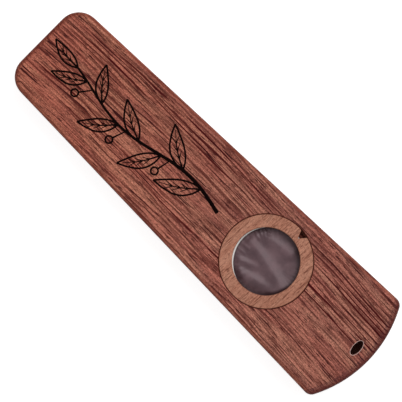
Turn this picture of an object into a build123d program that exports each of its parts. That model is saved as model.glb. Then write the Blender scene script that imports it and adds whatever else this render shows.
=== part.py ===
"""A flat wooden kazoo, glued up from four boards round a straight airway.

The front and back boards are held apart by two side rails, so the airway runs
from the mouth end to the far end. The front board has a round stepped seat that
opens into the airway. A film on a plastic hoop lies on the seat's ledge, and a
wooden ring pushed in above it holds it down. A notch in the ring's rim takes a
fingernail, to lift the ring out when the film is changed.

Millimetres. +X runs from the mouth end to the far end, +Y to the player's left,
+Z out of the front. The origin is on the back face, at mid length and mid width.
"""

import os

from build123d import *

# Body outline
body_length = 130.0
mouth_width = 29.3  # across the straight sides, in the plane of the mouth end
far_width = 37.6  # across the straight sides, in the plane of the far end's crown
mouth_corner_radius = 6.5
far_corner_radius = 2.6
far_end_radius = 37.0  # the far end is one shallow arc
edge_radius = 1.5  # round-over along the front and back outer edges

# Layers of the body, from the back
back_thickness = 3.0
airway_height = 5.0
rail_width = 5.0
mouth_flare = 0.7  # bevel round the mouth slot

# Ring, which sets the seat round it
ring_bore = 19.4
ring_wall = 3.75
ring_thickness = 2.6
ring_to_far_end = 40.5  # ring centre to the far end's crown
ring_clearance = 0.12  # radial, between ring and seat
ring_edge_radius = 0.3
notch_bearing = 80.5  # degrees from +X
notch_width = 2.9  # at the ring's rim
notch_wall = 1.35  # wood left between the notch and the bore
notch_lip_radius = 0.5
notch_root_radius = 0.2

# Film on its hoop, and the ledge that they lie on
hoop_play = 4.8  # hoop diameter to seat diameter
hoop_offset = 1.0  # the hoop lies loose, this far off the ring's centre
hoop_bearing = 15.0  # the way that it lies off, in degrees from +X
hoop_width = 0.95
hoop_thickness = 0.6
film_margin = 0.2  # hoop's rim to the film's rim
film_thickness = 0.1
ledge_lip = 0.65  # how far the ledge stands inside the ring's bore
ledge_thickness = 1.2

# Oval port through the front board, near the far end
port_length = 4.9
port_width = 2.3
port_to_far_end = 4.95  # port centre to the far end's crown
port_offset = 0.65  # port centre from the centre line, towards +Y
port_bearing = 93.0  # its long axis, in degrees from +X
rim_radius = 0.2  # softened rims of the seat and the port

# Worked out from the sizes above
mouth_x = -body_length / 2
far_x = body_length / 2
front_thickness = ledge_thickness + film_thickness + hoop_thickness + ring_thickness
airway_floor = back_thickness
airway_roof = airway_floor + airway_height
ledge_z = airway_roof + ledge_thickness
hoop_z = ledge_z + film_thickness
ring_z = hoop_z + hoop_thickness
front_z = airway_roof + front_thickness

ring_x = far_x - ring_to_far_end
ring_outer = ring_bore + 2 * ring_wall
seat_bore = ring_outer + 2 * ring_clearance
window_bore = ring_bore - 2 * ledge_lip
hoop_outer = seat_bore - hoop_play
hoop_place = Pos(ring_x, 0) * Rot(0, 0, hoop_bearing) * Pos(hoop_offset, 0)
port_x = far_x - port_to_far_end


def half_width(x):
    """Half the body's width between its straight sides, at a place along its length."""
    share = (x - mouth_x) / body_length
    return (mouth_width + share * (far_width - mouth_width)) / 2


def tapered_strip(x_low, x_high, inset):
    """A flat strip between two places along the body, inset from its straight sides."""
    low = half_width(x_low) - inset
    high = half_width(x_high) - inset
    return Polygon((x_low, -low), (x_high, -high), (x_high, high), (x_low, low))


def body_outline():
    """The body seen from the front: tapered, with an arc across its far end."""
    blank = tapered_strip(mouth_x, far_x, 0)
    arc_centre_x = far_x - far_end_radius
    end_strip = Pos(arc_centre_x + far_end_radius / 2, 0) * Rectangle(far_end_radius, 2 * far_width)
    outline = blank - (end_strip - Pos(arc_centre_x, 0) * Circle(far_end_radius))
    outline = fillet(outline.vertices().group_by(Axis.X)[0], mouth_corner_radius)
    return fillet(outline.vertices().group_by(Axis.X)[-1], far_corner_radius)


def layer(z_low, z_high):
    """One layer of the body, the full outline in plan."""
    return Pos(0, 0, z_low) * extrude(body_outline(), z_high - z_low)


def airway():
    """The straight channel through the body, run out past both of its ends."""
    channel = tapered_strip(mouth_x - rail_width, far_x + rail_width, rail_width)
    return Pos(0, 0, airway_floor) * extrude(channel, airway_height)


def mouth_bevel():
    """The wedge-sided plug that bevels the mouth slot's four edges."""
    mid_z = (airway_floor + airway_roof) / 2
    sections = []
    for depth, growth in ((0, mouth_flare), (mouth_flare, 0)):
        x = mouth_x + depth
        width = 2 * (half_width(x) - rail_width + growth)
        height = airway_height + 2 * growth
        sections.append(Plane.YZ.offset(x) * Pos(0, mid_z) * Rectangle(width, height))
    return loft(sections)


def make_front_board():
    """The board with the seat, its window into the airway, and the oval port."""
    board = layer(airway_roof, front_z)
    board = fillet(board.faces().sort_by(Axis.Z)[-1].outer_wire().edges(), edge_radius)
    seat = Pos(ring_x, 0, ledge_z) * extrude(Circle(seat_bore / 2), front_z - ledge_z)
    window = Pos(ring_x, 0, airway_roof) * extrude(Circle(window_bore / 2), ledge_thickness)
    oval = Ellipse(port_length / 2, port_width / 2, rotation=port_bearing)
    port = Pos(port_x, port_offset, airway_roof) * extrude(oval, front_thickness)
    board = board - seat - window - port
    rims = board.faces().sort_by(Axis.Z)[-1].inner_wires().edges()
    return fillet(rims, rim_radius) - mouth_bevel()


def make_back_board():
    """The plain board that the kazoo lies on."""
    board = layer(0, airway_floor)
    board = fillet(board.faces().sort_by(Axis.Z)[0].edges(), edge_radius)
    return board - mouth_bevel()


def make_side_rails():
    """The two rails that part the boards: the player's right one, then the left one."""
    rails = layer(airway_floor, airway_roof) - airway() - mouth_bevel()
    return rails.solids().sort_by(Axis.Y)


def make_retaining_ring():
    """The flat ring with a fingernail notch in its rim."""
    rim = ring_outer / 2
    root = ring_bore / 2 + notch_wall
    past_rim = 2 * rim - root  # the notch's sides run on out of the ring
    triangle = Polygon((root, 0), (past_rim, -notch_width), (past_rim, notch_width))
    flat = Circle(rim) - Circle(ring_bore / 2) - triangle
    corners = flat.vertices().group_by(lambda v: round(Vector(v).length, 3))
    lip_radius = min(notch_lip_radius, (rim - root) / 3)
    flat = fillet(corners[-1], lip_radius)
    corners = flat.vertices().group_by(lambda v: round(abs(v.Y), 3))
    roots = [v for v in corners[0] if abs(v.X - root) < notch_root_radius]
    flat = fillet(roots, notch_root_radius)
    ring = extrude(flat, ring_thickness)
    ring = fillet(ring.faces().sort_by(Axis.Z)[-1].edges(), ring_edge_radius)
    return Pos(ring_x, 0, ring_z) * Rot(0, 0, notch_bearing) * ring


def make_membrane_hoop():
    """The thin plastic hoop that carries the film on its underside."""
    flat = Circle(hoop_outer / 2) - Circle(hoop_outer / 2 - hoop_width)
    return Pos(0, 0, hoop_z) * hoop_place * extrude(flat, hoop_thickness)


def make_membrane_film():
    """The film that buzzes, clamped at its rim between the hoop and the ledge."""
    flat = Circle(hoop_outer / 2 - film_margin)
    return Pos(0, 0, ledge_z) * hoop_place * extrude(flat, film_thickness)


def main():
    right_rail, left_rail = make_side_rails()
    nodes = {
        "front_board": make_front_board(),
        "left_rail": left_rail,
        "right_rail": right_rail,
        "back_board": make_back_board(),
        "retaining_ring": make_retaining_ring(),
        "membrane_hoop": make_membrane_hoop(),
        "membrane_film": make_membrane_film(),
    }
    os.makedirs("parts", exist_ok=True)
    for name, shape in nodes.items():
        shape.label = name
        export_step(shape, f"parts/{name}.step")


main()
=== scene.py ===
"""Dresses the kazoo: oiled streaked wood, a paler ring, a wrinkled film and an inked leaf sprig.

Metres, in the kazoo's own frame: +X runs from the mouth end to the far end, +Z out of the front.
"""

import math

import bmesh
import bpy
from mathutils import Matrix, Vector


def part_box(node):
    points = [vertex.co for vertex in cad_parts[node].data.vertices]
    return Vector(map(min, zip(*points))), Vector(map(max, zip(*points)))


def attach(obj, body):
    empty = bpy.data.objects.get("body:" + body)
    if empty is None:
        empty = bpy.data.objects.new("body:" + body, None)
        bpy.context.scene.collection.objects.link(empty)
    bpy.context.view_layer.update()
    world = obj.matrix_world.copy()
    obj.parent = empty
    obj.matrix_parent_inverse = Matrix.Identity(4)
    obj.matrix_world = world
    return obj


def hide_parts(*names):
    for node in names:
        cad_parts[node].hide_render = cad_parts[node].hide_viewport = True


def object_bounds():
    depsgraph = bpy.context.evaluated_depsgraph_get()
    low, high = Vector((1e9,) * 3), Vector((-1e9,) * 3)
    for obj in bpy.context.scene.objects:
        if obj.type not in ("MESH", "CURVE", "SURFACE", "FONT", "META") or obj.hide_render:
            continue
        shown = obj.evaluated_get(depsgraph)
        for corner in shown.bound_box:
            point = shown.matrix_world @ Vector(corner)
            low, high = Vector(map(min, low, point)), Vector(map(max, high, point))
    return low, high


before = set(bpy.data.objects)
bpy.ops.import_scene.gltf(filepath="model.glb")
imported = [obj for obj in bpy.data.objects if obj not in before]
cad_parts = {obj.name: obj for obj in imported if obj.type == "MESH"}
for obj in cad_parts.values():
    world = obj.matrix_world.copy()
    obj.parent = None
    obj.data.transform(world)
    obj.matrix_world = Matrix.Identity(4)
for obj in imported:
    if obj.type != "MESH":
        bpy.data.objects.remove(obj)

MM = 0.001


def paint(red, green, blue):
    """A colour as it looks, in steps from 0 to 255, as the light that it sends back."""
    def light(step):
        share = step / 255
        return share / 12.92 if share <= 0.04045 else ((share + 0.055) / 1.055) ** 2.4
    return (light(red), light(green), light(blue), 1.0)


# Places taken from the frame
cad_low, cad_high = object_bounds()
rail_low, rail_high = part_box("left_rail")
ring_low, ring_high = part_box("retaining_ring")
hoop_low, hoop_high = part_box("membrane_hoop")
film_low, film_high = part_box("membrane_film")
front_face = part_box("front_board")[1].z
upper_seam = rail_high.z
lower_seam = rail_low.z
ring_centre = (ring_low + ring_high) / 2
ring_radius = (ring_high.y - ring_low.y) / 2
hoop_centre = (hoop_low + hoop_high) / 2

# Sizes of the body that its finish follows
seat_gap = 0.12 * MM  # between the ring and the wall of its seat
far_end_radius = 37 * MM
far_end_centre = Vector((cad_high.x - far_end_radius, 0, 0))
port_to_far_end = 4.95 * MM
port_offset = 0.65 * MM  # from the centre line
port_centre = Vector((cad_high.x - port_to_far_end, port_offset, front_face))
port_length = 4.9 * MM
port_width = 2.3 * MM
port_bearing = math.radians(93)

# Photograph's view: straight down on the front, with the length lying on a slant
photo_pixels = 402
pixels_per_mm = 3.525
slant = math.radians(44.67)
middle_right_of_centre = 3.72  # pixels from the picture's centre to the kazoo's middle
middle_above_centre = 0.25
camera_height = 1.2
sensor_width = 36.0  # millimetres

# Light and floor
sky_level = 0.5
lamp_power = 4.6
lamp_side = 0.5
lamp_place = Vector((-0.05, 0.50, 0.82))
floor_half_side = 3.0
floor_gap = 0.02 * MM  # below the kazoo's back
floor_shade = 0.6
floor_lift = 0.78  # added to the floor where it is looked at, so that it comes out white

# Grain of both woods. A patch is a length along the grain and a width across it, and an edge is the
# span of a noise, a draw or a distance over which a mark goes from nothing to full
noise_roughness = 0.55
band_slimness = 9.0  # length of a broad band to its width
band_edge = (0.36, 0.64)
waver_patch = (30 * MM, 6 * MM)
waver_swing = 1.4 * MM
growth_tilt = 0.8  # how far a growth line moves across the board for its depth in it
crowding_patch = (60 * MM, 5 * MM)
crowding_swing = 2.5  # in line spacings
thin_line_start = 0.64  # where a line starts, as a share of its spacing
thick_line_start = 0.44
line_fade_in = 0.08  # share of the spacing over which it comes in
line_fade_out = 0.94  # share of the spacing where it starts to fade
line_draw_edge = (0.1, 0.7)  # of the draw that sets a line's strength
faintest_line = 0.08
line_break_edge = (0.38, 0.50)
line_in_break = 0.05
dash_length_share = 0.42  # of a growth line's length
dash_width_share = 0.33  # of the line spacing
dash_edge = (0.52, 0.58)
dash_weight = 0.66
zone_patch = (45 * MM, 8 * MM)
zone_edge = (0.36, 0.60)
line_in_faint_zone = 0.68
pore_edge = (0.40, 0.20)  # from a pore's middle, in shares of its cell
pore_draw_edge = (0.3, 0.8)  # of the draw that sets a pore's strength
vein_length_share = 0.8  # of a growth line's length
vein_width_share = 0.30  # of the line spacing
vein_edge = (0.62, 0.68)
dusk_patch = (18 * MM, 2.2 * MM)
dusk_edge = (0.49, 0.65)
dusk_weight = 0.44
fleck_patch = (0.5 * MM, 0.24 * MM)
fleck_edge = (0.3, 0.7)
early_wood_edge = (0.50, 0.05)  # from late to early in a growth line's spacing
early_wood_gain = (-0.05, 0.10)
line_depth = 0.35  # depth of a growth line to a pore's

# The two woods
body_grain = {
    "Bow": 0.375,
    "Pale": paint(177, 117, 98),
    "Warm": paint(170, 103, 88),
    "Dusk": paint(102, 52, 50),
    "Dark": paint(66, 0, 4),
    "Pore": paint(46, 4, 10),
    "Band Width": 3.0 * MM,
    "Line Length": 17.0 * MM,
    "Line Spacing": 1.2 * MM,
    "Line Strength": 1.0,
    "Pore Length": 3.2 * MM,
    "Pore Width": 0.34 * MM,
    "Pore Strength": 0.95,
    "Fleck Strength": 0.42,
}
ring_grain = {
    "Bow": 0.0,
    "Pale": paint(181, 128, 106),
    "Warm": paint(170, 115, 94),
    "Dusk": paint(170, 115, 94),
    "Dark": paint(124, 74, 56),
    "Pore": paint(86, 38, 27),
    "Band Width": 1.8 * MM,
    "Line Length": 8.0 * MM,
    "Line Spacing": 0.80 * MM,
    "Line Strength": 0.2,
    "Pore Length": 1.8 * MM,
    "Pore Width": 0.30 * MM,
    "Pore Strength": 0.8,
    "Fleck Strength": 0.20,
}
wood_shine = 0.06
pore_bump = 0.6
body_roughness = (0.66, 0.44)  # in the pores, then on the solid wood
body_pore_depth = 0.05 * MM
ring_roughness = (0.7, 0.52)
ring_pore_depth = 0.03 * MM

# How each piece's grain is turned, and where it starts in the plank
board_turn = math.radians(0.6)
ring_turn = math.radians(-87.5)
front_start = (0.0, 0.0447, 0.0)
back_start = (0.0, 0.12, 0.07)
left_start = (0.0, 0.23, 0.17)
right_start = (0.0, 0.37, 0.29)
ring_start = (0.03, 0.05, 0.02)

# Broad shade of the boards, as shares of the light that the bare wood sends back
left_side_tint = (0.904, 0.917, 0.927, 1.0)
left_side_reach = 15 * MM  # to each side of the centre line
mouth_tint = (1.06, 0.945, 0.87, 1.0)
handled_start = 30 * MM  # along the length, where the mouth tint starts
handled_full = -50 * MM  # and where it is full

# Stains, painted shade and a painted highlight on the wood. A stain or a shade is a colour and a strength
# Painted shade, darker and redder, on the rounded edges and sides of the outer boards
edge_painted_shade = (paint(128, 58, 42), 0.4)
edge_start = 0.01 * MM  # depths below the flat face where the edge's painted shade starts and is full
edge_full = 0.15 * MM
end_stain = (paint(76, 18, 12), 0.4)
end_grain_edge = (0.10, 0.65)
# Painted shade: a dark purple-brown band behind the far end's arc, where its rounding turns from the
# light
far_end_shade = (paint(58, 26, 34), 0.42)
far_shade_full = 1.7 * MM  # depths behind the arc where the painted shade is full and ends
far_shade_reach = 2.1 * MM
far_shade_side = 10 * MM  # how far past the arc's centre the painted shade comes in
glue_stain = (paint(52, 26, 22), 0.85)
glue_start = 0.11 * MM  # distances from the seam where the stain starts and is full
glue_full = 0.02 * MM
scorch_brown = paint(78, 10, 0)
seat_scorch = (scorch_brown, 0.7)
seat_scorch_reach = 0.24 * MM
rim_scorch = (scorch_brown, 0.5)
rim_scorch_reach = 0.26 * MM
bore_scorch = (scorch_brown, 0.3)
bore_scorch_reach = 0.16 * MM
# Painted highlight: a pale rim on the port's softened edge, where the light catches it
port_rim_highlight = paint(196, 164, 156)
highlight_from = 0.01 * MM  # depths between which the port's rim gets its painted highlight
highlight_to = 0.2 * MM
highlight_end = 0.3 * MM  # depth where the last of it ends
highlight_spread = (1.6, 1.4)  # in half sizes of the port

# Plastic, film and ink. Marks are counted to the metre
hoop_shades = (paint(226, 225, 220), paint(242, 242, 240))
hoop_mottles = 900.0
hoop_roughness = (0.32, 0.46)
hoop_bump = 0.3
hoop_bump_depth = 0.01 * MM
film_shades = (paint(81, 60, 65), paint(105, 81, 86))
film_clouds = 260.0
# Painted shade: the film darkened towards the ring's bore, where the ring's wall shades it
film_rim_painted_shade = (paint(44, 32, 36), 0.75)
film_shade_reach = 1.4 * MM
film_roughness = (0.36, 0.46)
film_shine = 0.44
film_shine_tint = (1.0, 0.84, 0.87, 1.0)
film_crinkles = 1500.0
film_bump = 0.25
film_bump_depth = 0.02 * MM
film_cover = 0.88  # share of the light from below that it keeps back
ink_shades = (paint(5, 1, 1), paint(18, 6, 5))
ink_specks = 2600.0
ink_speck_edge = (0.35, 0.75)
ink_roughness = (0.55, 0.75)
ink_shine = 0.02
mottle_edge = (0.3, 0.7)

# Film's form, in millimetres
film_rings = 52
film_spokes = 220
film_sheet = 0.05  # thickness
slack_reach = 2.0  # distance from the hoop over which the folds rise
folds = (
    # two ends of each fold, from the ring's centre, then its half width and its height
    ((7.6, -4.6), (-4.5, -7.9), 1.9, 0.54),
    ((8.5, -2.2), (-6.5, 0.8), 1.9, 0.60),
    ((-1.2, -3.2), (-8.0, -5.8), 1.1, 0.34),
    ((3.5, 6.2), (-7.5, 4.4), 1.6, 0.38),
    ((-4.6, 6.2), (-7.4, 5.9), 0.45, 0.16),
    ((-6.0, 3.2), (-9.0, 3.5), 0.45, 0.18),
    ((-6.2, -0.9), (-9.2, -1.2), 0.45, 0.18),
    ((-6.0, -2.7), (-9.0, -3.0), 0.4, 0.12),
)
pucker_count = 41
pucker_height = 0.32
pucker_rise = 0.3  # distance from the hoop over which a pucker rises
pucker_reach = 1.3  # and over which it dies away
pucker_share = 0.45  # mean share of the full height, round the rim
pucker_swell = 0.35  # how much that share swells and falls
swell_count = 3
swell_turn = 0.6  # radians
mouth_side_gain = 0.2  # how much higher the puckers are towards the mouth end
crowd_swing = 2.2  # radians by which puckers crowd together
crowd_count = 5

# Leaf sprig, in millimetres and degrees
sprig_foot = Vector((5.0, 0.0))
sprig_length = 57.0
sprig_sway = 1.9
sprig_waves = 1.15
stem_steps = 12
stem_width = 1.15
stem_tip_width = 0.6
leaf_count = 7
first_leaf = 0.14  # share of the stem below the first leaf
leafy_share = 0.78  # share of the stem from the first leaf to the last
leaf_length = 14.5
leaf_tip_share = 0.72  # length of the leaf at the stem's tip to one at its foot
leaf_slimness = 0.31  # width to length
leaf_lean = 41.0
leaf_bend = 0.05  # how far a leaf curves, as a share of its length
leaf_line = 0.54
leaf_outline = ((0, 0), (0.2, 0.72), (0.45, 1), (0.75, 0.62), (1, 0))  # shares of length and half width
midrib = (0, 0.45, 0.88)  # shares of length
vein_starts = (0.25, 0.42, 0.58)
vein_path = ((0, 0), (0.1, 0.3), (0.17, 0.55))  # from a vein's start, as the outline is
vein_line = 0.36
berry_radius = 1.05
berry_corners = 8
berry_stalk = 4.2
berry_lean = 66.0
berry_step = 0.08  # how far up the stem a berry stands from the leaf across from it
line_smoothness = 10  # steps from one point of a line to the next
ink_flatness = 0.12  # height of a line to its width


def inner_radius(node, centre):
    """The bore of a ring-shaped node, as a radius."""
    return min((spot.co - centre).xy.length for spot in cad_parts[node].data.vertices)


def add(tree, kind, inputs=None, **settings):
    """A node with its settings made, and each input given a value or linked to an output."""
    made = tree.nodes.new(kind)
    for name, value in settings.items():
        setattr(made, name, value)
    for key, value in (inputs or {}).items():
        if isinstance(value, bpy.types.NodeSocket):
            tree.links.new(value, made.inputs[key])
        else:
            made.inputs[key].default_value = value
    return made


def add_group(tree, group, inputs):
    """A node group placed in a material with its own values."""
    return add(tree, "ShaderNodeGroup", inputs, node_tree=group).outputs


def blend_colours(tree, share, first, second, way="MIX"):
    """The first colour going over to the second as the share rises from 0 to 1."""
    made = add(tree, "ShaderNodeMix", {0: share, 6: first, 7: second}, data_type="RGBA", blend_type=way)
    return made.outputs[2]


def ramp(tree, value, low, high, to_low=0.0, to_high=1.0):
    """A value eased from one range to another, and held at its ends."""
    places = {"Value": value, "From Min": low, "From Max": high, "To Min": to_low, "To Max": to_high}
    return add(tree, "ShaderNodeMapRange", places, interpolation_type="SMOOTHSTEP").outputs[0]


def work_out(tree, sum_kind, first, second=0.0):
    """One sum of two numbers."""
    return add(tree, "ShaderNodeMath", {0: first, 1: second}, operation=sum_kind).outputs[0]


def work_out_vector(tree, sum_kind, first, second):
    """One sum of two vectors."""
    return add(tree, "ShaderNodeVectorMath", {0: first, 1: second}, operation=sum_kind).outputs[0]


def part_of(tree, vector, axis):
    """A vector's part along one axis."""
    return add(tree, "ShaderNodeSeparateXYZ", {0: vector}).outputs[axis]


def length_from_above(tree, vector):
    """A vector's length as it looks from straight above."""
    flat = work_out_vector(tree, "MULTIPLY", vector, (1, 1, 0))
    return add(tree, "ShaderNodeVectorMath", {0: flat}, operation="LENGTH").outputs["Value"]


def lay_stain_or_shade(tree, mask, colour, stain):
    """A colour gone over to a stain or a painted shade where the mask is full, as far as its strength
    lets it.
    """
    stain_colour, strength = stain
    return blend_colours(tree, work_out(tree, "MULTIPLY", mask, strength), colour, stain_colour)


def new_group(name, inputs, outputs):
    """An empty shader node group, with its way in and its way out."""
    group = bpy.data.node_groups.new(name, "ShaderNodeTree")
    for in_out, sockets in (("INPUT", inputs), ("OUTPUT", outputs)):
        for label, kind in sockets.items():
            group.interface.new_socket(label, in_out=in_out, socket_type="NodeSocket" + kind)
    return group, group.nodes.new("NodeGroupInput").outputs, group.nodes.new("NodeGroupOutput").inputs


def count_in_patches(tree, place, patch):
    """A place counted in patches, each with a length along the grain and a width across it."""
    length, width = patch
    sides = add(tree, "ShaderNodeCombineXYZ", {0: length, 1: width, 2: width}).outputs[0]
    return work_out_vector(tree, "DIVIDE", place, sides)


def grain_noise(tree, place, patch, detail=1.0):
    """Noise in patches that are drawn out along the grain."""
    spot = count_in_patches(tree, place, patch)
    inputs = {"Vector": spot, "Scale": 1.0, "Detail": detail, "Roughness": noise_roughness}
    return add(tree, "ShaderNodeTexNoise", inputs).outputs[0]


def even_noise(tree, place, count, detail=3.0):
    """Noise in marks that are alike in every direction, so many to the metre."""
    return add(tree, "ShaderNodeTexNoise", {"Vector": place, "Scale": count, "Detail": detail}).outputs[0]


def shift_grain(group, given):
    """Places moved sideways, so that the grain bows along the board and wavers a little."""
    along = part_of(group, given["Place"], "X")
    bow = work_out(group, "MULTIPLY", work_out(group, "MULTIPLY", along, along), given["Bow"])
    waver = work_out(group, "SUBTRACT", grain_noise(group, given["Place"], waver_patch), 0.5)
    sideways = work_out(group, "ADD", work_out(group, "MULTIPLY", waver, waver_swing), bow)
    shift = add(group, "ShaderNodeCombineXYZ", {"Y": sideways}).outputs[0]
    return work_out_vector(group, "ADD", given["Place"], shift)


def count_growth_lines(group, given, place):
    """Growth lines counted across the grain, where they lie unevenly spaced."""
    depth = work_out(group, "MULTIPLY", part_of(group, place, "Z"), growth_tilt)
    across = work_out(group, "ADD", part_of(group, place, "Y"), depth)
    crowding = work_out(group, "MULTIPLY", grain_noise(group, place, crowding_patch), crowding_swing)
    return work_out(group, "ADD", work_out(group, "DIVIDE", across, given["Line Spacing"]), crowding)


def draw_growth_lines(group, given, place, count):
    """Dark growth lines that come and go along the grain, with finer dashes between them."""
    share = work_out(group, "FRACT", count)
    number = work_out(group, "FLOOR", count)
    draw = add(group, "ShaderNodeTexWhiteNoise", {"W": number}, noise_dimensions="1D").outputs
    line_start = ramp(group, draw["Value"], 0.0, 1.0, thin_line_start, thick_line_start)
    lines = ramp(group, share, line_start, work_out(group, "ADD", line_start, line_fade_in))
    lines = work_out(group, "MULTIPLY", lines, ramp(group, share, 1.0, line_fade_out))
    weight = add(group, "ShaderNodeSeparateColor", {0: draw["Color"]}).outputs[1]
    lines = work_out(group, "MULTIPLY", lines, ramp(group, weight, *line_draw_edge, faintest_line, 1.0))
    presence = grain_noise(group, place, (given["Line Length"], given["Line Spacing"]), detail=2.0)
    presence = ramp(group, presence, *line_break_edge, line_in_break, 1.0)
    lines = work_out(group, "MULTIPLY", lines, presence)

    dash_length = work_out(group, "MULTIPLY", given["Line Length"], dash_length_share)
    dash_width = work_out(group, "MULTIPLY", given["Line Spacing"], dash_width_share)
    dashes = ramp(group, grain_noise(group, place, (dash_length, dash_width)), *dash_edge)
    lines = work_out(group, "MAXIMUM", lines, work_out(group, "MULTIPLY", dashes, dash_weight))
    zone = ramp(group, grain_noise(group, place, zone_patch), *zone_edge, line_in_faint_zone, 1.0)
    return work_out(group, "MULTIPLY", work_out(group, "MULTIPLY", lines, zone), given["Line Strength"])


def draw_pores(group, given, place):
    """Short open pores, and thin veins among them."""
    spot = count_in_patches(group, place, (given["Pore Length"], given["Pore Width"]))
    cells = add(group, "ShaderNodeTexVoronoi", {"Vector": spot, "Scale": 1.0}).outputs
    chance = ramp(group, part_of(group, cells["Color"], "X"), *pore_draw_edge)
    pores = work_out(group, "MULTIPLY", ramp(group, cells["Distance"], *pore_edge), chance)
    vein_length = work_out(group, "MULTIPLY", given["Line Length"], vein_length_share)
    vein_width = work_out(group, "MULTIPLY", given["Line Spacing"], vein_width_share)
    veins = ramp(group, grain_noise(group, place, (vein_length, vein_width)), *vein_edge)
    return work_out(group, "MULTIPLY", work_out(group, "MAXIMUM", pores, veins), given["Pore Strength"])


def draw_shine(group, given, place, count):
    """How bright the wood is, from its fine flecks and from the early wood between its lines."""
    fleck_low = work_out(group, "SUBTRACT", 1.0, given["Fleck Strength"])
    fleck_high = work_out(group, "ADD", 1.0, given["Fleck Strength"])
    flecks = ramp(group, grain_noise(group, place, fleck_patch), *fleck_edge, fleck_low, fleck_high)
    early_wood = ramp(group, work_out(group, "FRACT", count), *early_wood_edge, *early_wood_gain)
    early_wood = work_out(group, "MULTIPLY", early_wood, given["Line Strength"])
    shine = work_out(group, "MULTIPLY", flecks, work_out(group, "ADD", 1.0, early_wood))
    return add(group, "ShaderNodeCombineColor", {0: shine, 1: shine, 2: shine}).outputs[0]


def make_grain_group():
    """Wood with its grain along X: broad bands, dusky patches, flecks, growth lines and open pores."""
    inputs = {
        "Place": "Vector",
        "Bow": "Float",
        "Pale": "Color",
        "Warm": "Color",
        "Dusk": "Color",
        "Dark": "Color",
        "Pore": "Color",
        "Band Width": "Float",
        "Line Length": "Float",
        "Line Spacing": "Float",
        "Line Strength": "Float",
        "Pore Length": "Float",
        "Pore Width": "Float",
        "Pore Strength": "Float",
        "Fleck Strength": "Float",
    }
    group, given, result = new_group("wood_grain", inputs, {"Colour": "Color", "Height": "Float"})
    place = shift_grain(group, given)
    count = count_growth_lines(group, given, place)
    lines = draw_growth_lines(group, given, place, count)
    pores = draw_pores(group, given, place)
    band_length = work_out(group, "MULTIPLY", given["Band Width"], band_slimness)
    band_patch = (band_length, given["Band Width"])
    bands = ramp(group, grain_noise(group, place, band_patch, detail=2.0), *band_edge)
    dusk = ramp(group, grain_noise(group, place, dusk_patch, detail=2.0), *dusk_edge, 0.0, dusk_weight)

    colour = blend_colours(group, bands, given["Pale"], given["Warm"])
    colour = blend_colours(group, dusk, colour, given["Dusk"])
    colour = blend_colours(group, 1.0, colour, draw_shine(group, given, place, count), "MULTIPLY")
    colour = blend_colours(group, lines, colour, given["Dark"])
    colour = blend_colours(group, pores, colour, given["Pore"])
    group.links.new(colour, result["Colour"])
    sunk = work_out(group, "ADD", work_out(group, "MULTIPLY", lines, line_depth), pores)
    group.links.new(work_out(group, "SUBTRACT", 1.0, sunk), result["Height"])
    return group


def make_plank_shade_group():
    """How far a place lies towards the darker left side, at +Y, and towards the handled mouth end."""
    outputs = {"Left Side": "Float", "Handled": "Float"}
    group, given, result = new_group("plank_shade", {"Place": "Vector"}, outputs)
    leftward = ramp(group, part_of(group, given["Place"], "Y"), -left_side_reach, left_side_reach)
    handled = ramp(group, part_of(group, given["Place"], "X"), handled_start, handled_full)
    group.links.new(leftward, result["Left Side"])
    group.links.new(handled, result["Handled"])
    return group


def make_round_cut_group():
    """How near a place is to a round cut, such as a bore, that stands on a centre."""
    inputs = {"Place": "Vector", "Centre": "Vector", "Radius": "Float", "Reach": "Float"}
    group, given, result = new_group("near_round_cut", inputs, {"Mask": "Float"})
    away = work_out_vector(group, "SUBTRACT", given["Place"], given["Centre"])
    gap = work_out(group, "SUBTRACT", length_from_above(group, away), given["Radius"])
    near = ramp(group, work_out(group, "ABSOLUTE", gap), given["Reach"], 0.0)
    group.links.new(near, result["Mask"])
    return group


def make_level_group():
    """How a mark goes from nothing to full with the distance from a level, such as a glue seam."""
    inputs = {"Place": "Vector", "Level": "Float", "Start": "Float", "Full": "Float"}
    group, given, result = new_group("from_level", inputs, {"Mask": "Float"})
    gap = work_out(group, "SUBTRACT", part_of(group, given["Place"], "Z"), given["Level"])
    mark = ramp(group, work_out(group, "ABSOLUTE", gap), given["Start"], given["Full"])
    group.links.new(mark, result["Mask"])
    return group


def make_far_end_group():
    """Painted shade: how far a place lies behind the far end's arc, where a dark band stands in for the
    shade on its rounding.
    """
    group, given, result = new_group("far_end_shade_band", {"Place": "Vector"}, {"Mask": "Float"})
    away = work_out_vector(group, "SUBTRACT", given["Place"], far_end_centre)
    depth = work_out(group, "SUBTRACT", far_end_radius, length_from_above(group, away))
    on_this_side = ramp(group, part_of(group, away, "X"), 0.0, far_shade_side)
    far_shaded = work_out(group, "MULTIPLY", ramp(group, depth, far_shade_reach, far_shade_full), on_this_side)
    group.links.new(far_shaded, result["Mask"])
    return group


def make_end_grain_group():
    """How far a surface is turned to face along the grain, where wood drinks in more finish."""
    group, given, result = new_group("end_grain", {"Facing": "Vector"}, {"Mask": "Float"})
    along = work_out(group, "ABSOLUTE", part_of(group, given["Facing"], "X"))
    group.links.new(ramp(group, along, *end_grain_edge), result["Mask"])
    return group


grain_group = make_grain_group()
plank_shade_group = make_plank_shade_group()
round_cut_group = make_round_cut_group()
level_group = make_level_group()
far_end_group = make_far_end_group()
end_grain_group = make_end_grain_group()


def new_finish(name):
    """A material with its node tree, its shader and the places and directions on the piece."""
    material = bpy.data.materials.new(name)
    material.use_nodes = True
    tree = material.node_tree
    return material, tree, tree.nodes["Principled BSDF"], add(tree, "ShaderNodeTexCoord").outputs


def near_round_cut(tree, place, radius, reach):
    """How near a place is to a round cut about the ring's centre."""
    inputs = {"Place": place, "Centre": ring_centre, "Radius": radius, "Reach": reach}
    return add_group(tree, round_cut_group, inputs)["Mask"]


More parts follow.
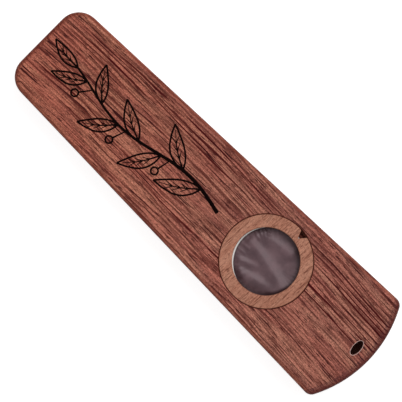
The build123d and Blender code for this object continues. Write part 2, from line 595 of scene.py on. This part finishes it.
def from_level(tree, place, level, start, full):
    """A mark that goes from nothing to full between two distances from a level."""
    inputs = {"Place": place, "Level": level, "Start": start, "Full": full}
    return add_group(tree, level_group, inputs)["Mask"]


def add_bump(tree, shader, height, strength, depth):
    """Gives the shader a fine relief."""
    bump = add(tree, "ShaderNodeBump", {"Strength": strength, "Distance": depth, "Height": height})
    tree.links.new(bump.outputs[0], shader.inputs["Normal"])


def lay_wood(tree, place, turn, start, values):
    """The grain group, turned to run along its board and moved to a fresh part of the plank."""
    laid = add(tree, "ShaderNodeMapping", {"Vector": place, "Location": start, "Rotation": (0, 0, turn)})
    return add_group(tree, grain_group, {"Place": laid.outputs[0], **values})


def join_wood(tree, shader, colour, height, roughness, pore_depth):
    """Joins a wood's colour and its open grain to the shader."""
    tree.links.new(colour, shader.inputs["Base Color"])
    tree.links.new(ramp(tree, height, 0.0, 1.0, *roughness), shader.inputs["Roughness"])
    add_bump(tree, shader, height, pore_bump, pore_depth)
    shader.inputs["Specular IOR Level"].default_value = wood_shine


def paint_port_rim_highlight(tree, place, colour):
    """A colour with a pale painted highlight on the port's softened rim."""
    half_sizes = (port_length / 2, port_width / 2, 1.0)
    turn = (0, 0, port_bearing)
    inputs = {"Vector": place, "Location": port_centre, "Rotation": turn, "Scale": half_sizes}
    oval = add(tree, "ShaderNodeMapping", inputs, vector_type="TEXTURE").outputs[0]
    depth = work_out(tree, "SUBTRACT", front_face, part_of(tree, place, "Z"))
    on_rim = work_out(
        tree, "MULTIPLY", ramp(tree, depth, 0.0, highlight_from), ramp(tree, depth, highlight_end, highlight_to))
    near_port = ramp(tree, length_from_above(tree, oval), *highlight_spread)
    return blend_colours(tree, work_out(tree, "MULTIPLY", on_rim, near_port), colour, port_rim_highlight)


def make_board_finish(name, start, seams, outer_level=None, seat_radius=None):
    """Streaked wood with dark ends and glue lines.

    An outer board has painted shade, darker and redder, off its flat face. Every board has painted shade
    behind the far end's arc. The board with the seat has a scorched rim and a painted highlight on its
    port's rim.
    """
    material, tree, shader, spot = new_finish(name)
    place = spot["Object"]
    grain = lay_wood(tree, place, board_turn, start, body_grain)
    shade = add_group(tree, plank_shade_group, {"Place": place})
    colour = blend_colours(tree, shade["Left Side"], grain["Colour"], left_side_tint, "MULTIPLY")
    colour = blend_colours(tree, shade["Handled"], colour, mouth_tint, "MULTIPLY")
    if outer_level is not None:
        # painted shade on the rounded edges and sides
        off_face = from_level(tree, place, outer_level, edge_start, edge_full)
        colour = lay_stain_or_shade(tree, off_face, colour, edge_painted_shade)
    end = add_group(tree, end_grain_group, {"Facing": spot["Normal"]})["Mask"]
    colour = lay_stain_or_shade(tree, end, colour, end_stain)
    # painted shade: a dark band behind the far end's arc
    far_shaded = add_group(tree, far_end_group, {"Place": place})["Mask"]
    colour = lay_stain_or_shade(tree, far_shaded, colour, far_end_shade)
    if seat_radius is not None:
        burnt = near_round_cut(tree, place, seat_radius, seat_scorch_reach)
        colour = lay_stain_or_shade(tree, burnt, colour, seat_scorch)
        # painted highlight on the port's rim
        colour = paint_port_rim_highlight(tree, place, colour)
    for seam in seams:
        glue = from_level(tree, place, seam, glue_start, glue_full)
        colour = lay_stain_or_shade(tree, glue, colour, glue_stain)
    join_wood(tree, shader, colour, grain["Height"], body_roughness, body_pore_depth)
    return material


def make_ring_finish():
    """Plain paler wood, its grain running across the kazoo, with browned cut edges."""
    material, tree, shader, spot = new_finish("ring_wood_sanded")
    place = spot["Object"]
    grain = lay_wood(tree, place, ring_turn, ring_start, ring_grain)
    bore_radius = inner_radius("retaining_ring", ring_centre)
    burnt_rim = near_round_cut(tree, place, ring_radius, rim_scorch_reach)
    burnt_bore = near_round_cut(tree, place, bore_radius, bore_scorch_reach)
    colour = lay_stain_or_shade(tree, burnt_rim, grain["Colour"], rim_scorch)
    colour = lay_stain_or_shade(tree, burnt_bore, colour, bore_scorch)
    join_wood(tree, shader, colour, grain["Height"], ring_roughness, ring_pore_depth)
    return material


def make_hoop_finish():
    """White satin plastic with a faint moulded texture."""
    material, tree, shader, spot = new_finish("hoop_white_plastic")
    mottle = even_noise(tree, spot["Object"], hoop_mottles)
    tree.links.new(blend_colours(tree, mottle, *hoop_shades), shader.inputs["Base Color"])
    tree.links.new(ramp(tree, mottle, *mottle_edge, *hoop_roughness), shader.inputs["Roughness"])
    add_bump(tree, shader, mottle, hoop_bump, hoop_bump_depth)
    return material


def make_film_finish():
    """Thin clouded film with a soft pinkish gloss, and painted shade that darkens it towards the ring."""
    material, tree, shader, spot = new_finish("film_clouded_plastic")
    place = spot["Object"]
    cloud = even_noise(tree, place, film_clouds)
    tone = blend_colours(tree, ramp(tree, cloud, *mottle_edge), *film_shades)
    bore_radius = inner_radius("retaining_ring", ring_centre)
    # painted shade: the film darkens near the ring's bore
    rim = near_round_cut(tree, place, bore_radius, film_shade_reach)
    tree.links.new(lay_stain_or_shade(tree, rim, tone, film_rim_painted_shade), shader.inputs["Base Color"])
    tree.links.new(ramp(tree, cloud, *mottle_edge, *film_roughness), shader.inputs["Roughness"])
    shader.inputs["Specular IOR Level"].default_value = film_shine
    shader.inputs["Specular Tint"].default_value = film_shine_tint
    crinkle = even_noise(tree, place, film_crinkles, detail=2.0)
    add_bump(tree, shader, crinkle, film_bump, film_bump_depth)
    shader.inputs["Alpha"].default_value = film_cover
    return material


def make_ink_finish():
    """Dull black, a little uneven, as burnt and filled lines are."""
    material, tree, shader, spot = new_finish("sprig_black_ink")
    speck = even_noise(tree, spot["Object"], ink_specks)
    tone = blend_colours(tree, ramp(tree, speck, *ink_speck_edge), *ink_shades)
    tree.links.new(tone, shader.inputs["Base Color"])
    tree.links.new(ramp(tree, speck, *mottle_edge, *ink_roughness), shader.inputs["Roughness"])
    shader.inputs["Specular IOR Level"].default_value = ink_shine
    return material


def set_finish(piece, material):
    """Gives a piece its one material."""
    piece.data.materials.clear()
    piece.data.materials.append(material)


def new_object(name, work):
    """A finished mesh as an object in the scene."""
    mesh = bpy.data.meshes.new(name)
    work.to_mesh(mesh)
    work.free()
    made = bpy.data.objects.new(name, mesh)
    bpy.context.scene.collection.objects.link(made)
    return made


def new_piece(name, work, material, body):
    """A finished mesh as a piece that rides on a body."""
    piece = new_object(name, work)
    piece.data.shade_smooth()
    set_finish(piece, material)
    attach(piece, body)
    return piece


def fold_lift(place, fold):
    """How far one fold stands up at a place: a ridge between its two ends, in millimetres."""
    first, last, half_width, height = fold
    foot = Vector(first)
    run = Vector(last) - foot
    share = max(0.0, min(1.0, (place - foot).dot(run) / run.length_squared))
    away = (place - foot - share * run).length
    return height * math.exp(-(away / half_width) ** 2)


def pucker_lift(bearing, inside):
    """How far the puckers stand up, at a bearing and at a distance inside the hoop, in millimetres."""
    swell = pucker_swell * math.sin(swell_count * bearing + swell_turn)
    uneven = pucker_share + swell - mouth_side_gain * math.cos(bearing)
    crowding = crowd_swing * math.sin(crowd_count * bearing)
    ripple = 0.5 + 0.5 * math.sin(pucker_count * bearing + crowding)
    rise = min(inside / pucker_rise, 1.0)
    return pucker_height * uneven * ripple * math.exp(-inside / pucker_reach) * rise


def film_lift(place, free_radius):
    """How far the film stands above its flat plane, at a place from the hoop's centre, in millimetres."""
    inside = free_radius - place.length
    if inside <= 0:
        return 0.0
    share = min(inside / slack_reach, 1.0)
    slack = share * share * (3 - 2 * share)
    from_ring = place + (hoop_centre - ring_centre).xy / MM
    lift = sum(fold_lift(from_ring, fold) for fold in folds)
    return slack * lift + pucker_lift(math.atan2(place.y, place.x), inside)


def make_film():
    """The film: flat where the hoop clamps it, with soft folds across it and small puckers at its rim."""
    centre = (film_low + film_high) / 2
    radius = (film_high.x - film_low.x) / 2
    free_radius = inner_radius("membrane_hoop", hoop_centre) / MM
    work = bmesh.new()
    spoke = work.edges.new((work.verts.new((0, 0, 0)), work.verts.new((radius, 0, 0))))
    bmesh.ops.subdivide_edges(work, edges=[spoke], cuts=film_rings - 1)
    bmesh.ops.spin(work, geom=work.verts[:] + work.edges[:], cent=(0, 0, 0), axis=(0, 0, 1),
                   angle=2 * math.pi, steps=film_spokes, use_merge=True)
    bmesh.ops.remove_doubles(work, verts=work.verts, dist=0.001 * MM)
    for spot in work.verts:
        spot.co.z = film_lift(spot.co.xy / MM, free_radius) * MM
    bmesh.ops.recalc_face_normals(work, faces=work.faces)
    bmesh.ops.translate(work, verts=work.verts, vec=centre)
    film = new_piece("wrinkled_film", work, make_film_finish(), "film_insert")
    wall = film.modifiers.new("thickness", "SOLIDIFY")
    wall.thickness = film_sheet * MM
    wall.offset = 0.0
    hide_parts("membrane_film")


def stem_spot(share):
    """Place and bearing on the sprig's stem, from its foot at 0 to its tip at 1."""
    phase = 2 * math.pi * sprig_waves * share
    place = sprig_foot + Vector((-sprig_length * share, sprig_sway * math.sin(phase)))
    slope = sprig_sway * 2 * math.pi * sprig_waves * math.cos(phase)
    return place, math.atan2(slope, -sprig_length)


def draw_line(drawing, points, width, tip_width=None, closed=False):
    """One pen line through points in millimetres, easing from one width to another."""
    line = drawing.splines.new("BEZIER")
    line.bezier_points.add(len(points) - 1)
    line.use_cyclic_u = closed
    line.resolution_u = line_smoothness
    last_width = width if tip_width is None else tip_width
    for step, (spot, point) in enumerate(zip(line.bezier_points, points)):
        share = step / (len(points) - 1)
        spot.co = (point[0] * MM, point[1] * MM, 0)
        spot.handle_left_type = spot.handle_right_type = "AUTO"
        spot.radius = (width + share * (last_width - width)) / 2


def draw_leaf(drawing, foot, bearing, length):
    """An almond leaf: two bowed edges, a midrib and a few side veins."""
    turn = Matrix.Rotation(bearing, 2)
    half = length * leaf_slimness / 2

    def on_leaf(along, across):
        bend = leaf_bend * length * math.sin(math.pi * along)
        return foot + turn @ Vector((along * length, across * half + bend))

    for side in (1, -1):
        draw_line(drawing, [on_leaf(along, side * bow) for along, bow in leaf_outline], leaf_line)
        for start in vein_starts:
            vein = [on_leaf(start + along, side * across) for along, across in vein_path]
            draw_line(drawing, vein, vein_line, vein_line / 2)
    draw_line(drawing, [on_leaf(along, 0) for along in midrib], leaf_line, vein_line / 2)


def draw_berry(drawing, foot, bearing):
    """A round berry on a short stalk."""
    stalk = Vector((math.cos(bearing), math.sin(bearing)))
    middle = foot + stalk * (berry_stalk + berry_radius)
    draw_line(drawing, [foot, foot + stalk * berry_stalk], vein_line, leaf_line)
    rim = Vector((berry_radius, 0))
    corner = math.tau / berry_corners
    spots = [middle + Matrix.Rotation(corner * step, 2) @ rim for step in range(berry_corners)]
    draw_line(drawing, spots, leaf_line, closed=True)


def draw_sprig(drawing):
    """The whole sprig: its stem, leaves to both sides in turn, and berries across from some of them."""
    stem = [stem_spot(step / stem_steps)[0] for step in range(stem_steps + 1)]
    draw_line(drawing, stem, stem_width, stem_tip_width)
    for number in range(leaf_count):
        share = first_leaf + leafy_share * number / (leaf_count - 1)
        place, bearing = stem_spot(share)
        side = 1 if number % 2 == 0 else -1
        length = leaf_length * (1 - (1 - leaf_tip_share) * share)
        draw_leaf(drawing, place, bearing + side * math.radians(leaf_lean), length)
        if side == -1:
            place, bearing = stem_spot(share + berry_step)
            draw_berry(drawing, place, bearing - side * math.radians(berry_lean))
    tip, bearing = stem_spot(1.0)
    draw_leaf(drawing, tip, bearing, leaf_length * leaf_tip_share)


def make_sprig():
    """A plain leafy sprig in black lines that are let into the front face."""
    drawing = bpy.data.curves.new("sprig_drawing", "CURVE")
    drawing.dimensions = "3D"
    drawing.bevel_depth = MM
    drawing.bevel_resolution = 2
    drawing.use_fill_caps = True
    draw_sprig(drawing)
    sketch = bpy.data.objects.new("sprig_sketch", drawing)
    bpy.context.scene.collection.objects.link(sketch)
    lines = bpy.data.meshes.new_from_object(sketch.evaluated_get(bpy.context.evaluated_depsgraph_get()))
    bpy.data.objects.remove(sketch)
    work = bmesh.new()
    work.from_mesh(lines)
    bpy.data.meshes.remove(lines)
    bmesh.ops.scale(work, verts=work.verts, vec=(1, 1, ink_flatness))
    bmesh.ops.translate(work, verts=work.verts, vec=(0, 0, front_face))
    new_piece("leaf_sprig_lines", work, make_ink_finish(), "body")


def dress_nodes():
    """Puts a finish on each piece that keeps its own shape."""
    seat_radius = ring_radius + seat_gap
    both_seams = [lower_seam, upper_seam]
    finishes = {
        "front_board": make_board_finish(
            "front_board_wood", front_start, [upper_seam], front_face, seat_radius),
        "back_board": make_board_finish("back_board_wood", back_start, [lower_seam], cad_low.z),
        "left_rail": make_board_finish("left_rail_wood", left_start, both_seams),
        "right_rail": make_board_finish("right_rail_wood", right_start, both_seams),
        "retaining_ring": make_ring_finish(),
        "membrane_hoop": make_hoop_finish(),
    }
    for node, finish in finishes.items():
        set_finish(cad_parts[node], finish)


def seen_directly(tree):
    """1 where a surface is looked at straight, in a reflection or through glass, and otherwise 0."""
    path = add(tree, "ShaderNodeLightPath").outputs
    seen = work_out(tree, "MAXIMUM", path["Is Camera Ray"], path["Is Glossy Ray"])
    return work_out(tree, "MAXIMUM", seen, path["Is Transmission Ray"])


def make_sky():
    """A white sky to look at, and a softer one to light the kazoo."""
    world = bpy.data.worlds.new("studio_sky")
    world.use_nodes = True
    tree = world.node_tree
    soft = tree.nodes["Background"]
    soft.inputs["Color"].default_value = (1, 1, 1, 1)
    soft.inputs["Strength"].default_value = sky_level
    white = add(tree, "ShaderNodeBackground", {"Color": (1, 1, 1, 1), "Strength": 1.0})
    skies = {0: seen_directly(tree), 1: soft.outputs[0], 2: white.outputs[0]}
    both = add(tree, "ShaderNodeMixShader", skies)
    tree.links.new(both.outputs[0], tree.nodes["World Output"].inputs["Surface"])
    bpy.context.scene.world = world


def make_floor():
    """A pale floor that comes out white and keeps the kazoo's shadow."""
    work = bmesh.new()
    bmesh.ops.create_grid(work, x_segments=1, y_segments=1, size=floor_half_side)
    bmesh.ops.translate(work, verts=work.verts, vec=(0, 0, cad_low.z - floor_gap))
    floor = new_object("floor", work)
    material = bpy.data.materials.new("pale_floor")
    material.use_nodes = True
    tree = material.node_tree
    tree.nodes.remove(tree.nodes["Principled BSDF"])
    shade = add(tree, "ShaderNodeBsdfDiffuse", {"Color": (floor_shade, floor_shade, floor_shade, 1)})
    lift = work_out(tree, "MULTIPLY", seen_directly(tree), floor_lift)
    glow = add(tree, "ShaderNodeEmission", {"Color": (1, 1, 1, 1), "Strength": lift})
    both = add(tree, "ShaderNodeAddShader", {0: shade.outputs[0], 1: glow.outputs[0]})
    tree.links.new(both.outputs[0], tree.nodes["Material Output"].inputs["Surface"])
    set_finish(floor, material)


def make_lamp():
    """A large soft lamp above the kazoo, to one side of the camera."""
    lamp = bpy.data.lights.new("soft_lamp", "AREA")
    lamp.shape = "SQUARE"
    lamp.size = lamp_side
    lamp.energy = lamp_power
    holder = bpy.data.objects.new("soft_lamp", lamp)
    bpy.context.scene.collection.objects.link(holder)
    holder.location = lamp_place
    holder.rotation_euler = (-lamp_place).to_track_quat("-Z", "Y").to_euler()


def make_camera():
    """The photograph's camera, a long lens straight above the front."""
    right = Vector((math.cos(slant), math.sin(slant), 0))
    up = Vector((-math.sin(slant), math.cos(slant), 0))
    offset = right * middle_right_of_centre + up * middle_above_centre
    frame_width = photo_pixels / pixels_per_mm * MM
    camera = bpy.data.cameras.new("photo_camera")
    camera.sensor_width = sensor_width
    camera.lens = sensor_width * camera_height / frame_width
    holder = bpy.data.objects.new("photo_camera", camera)
    bpy.context.scene.collection.objects.link(holder)
    holder.location = -offset / pixels_per_mm * MM + Vector((0, 0, front_face + camera_height))
    holder.rotation_euler = (0, 0, slant)
    bpy.context.scene.camera = holder


make_camera()
dress_nodes()
make_film()
make_sprig()
make_sky()
make_floor()
make_lamp()
bpy.context.scene.view_settings.view_transform = "Standard"
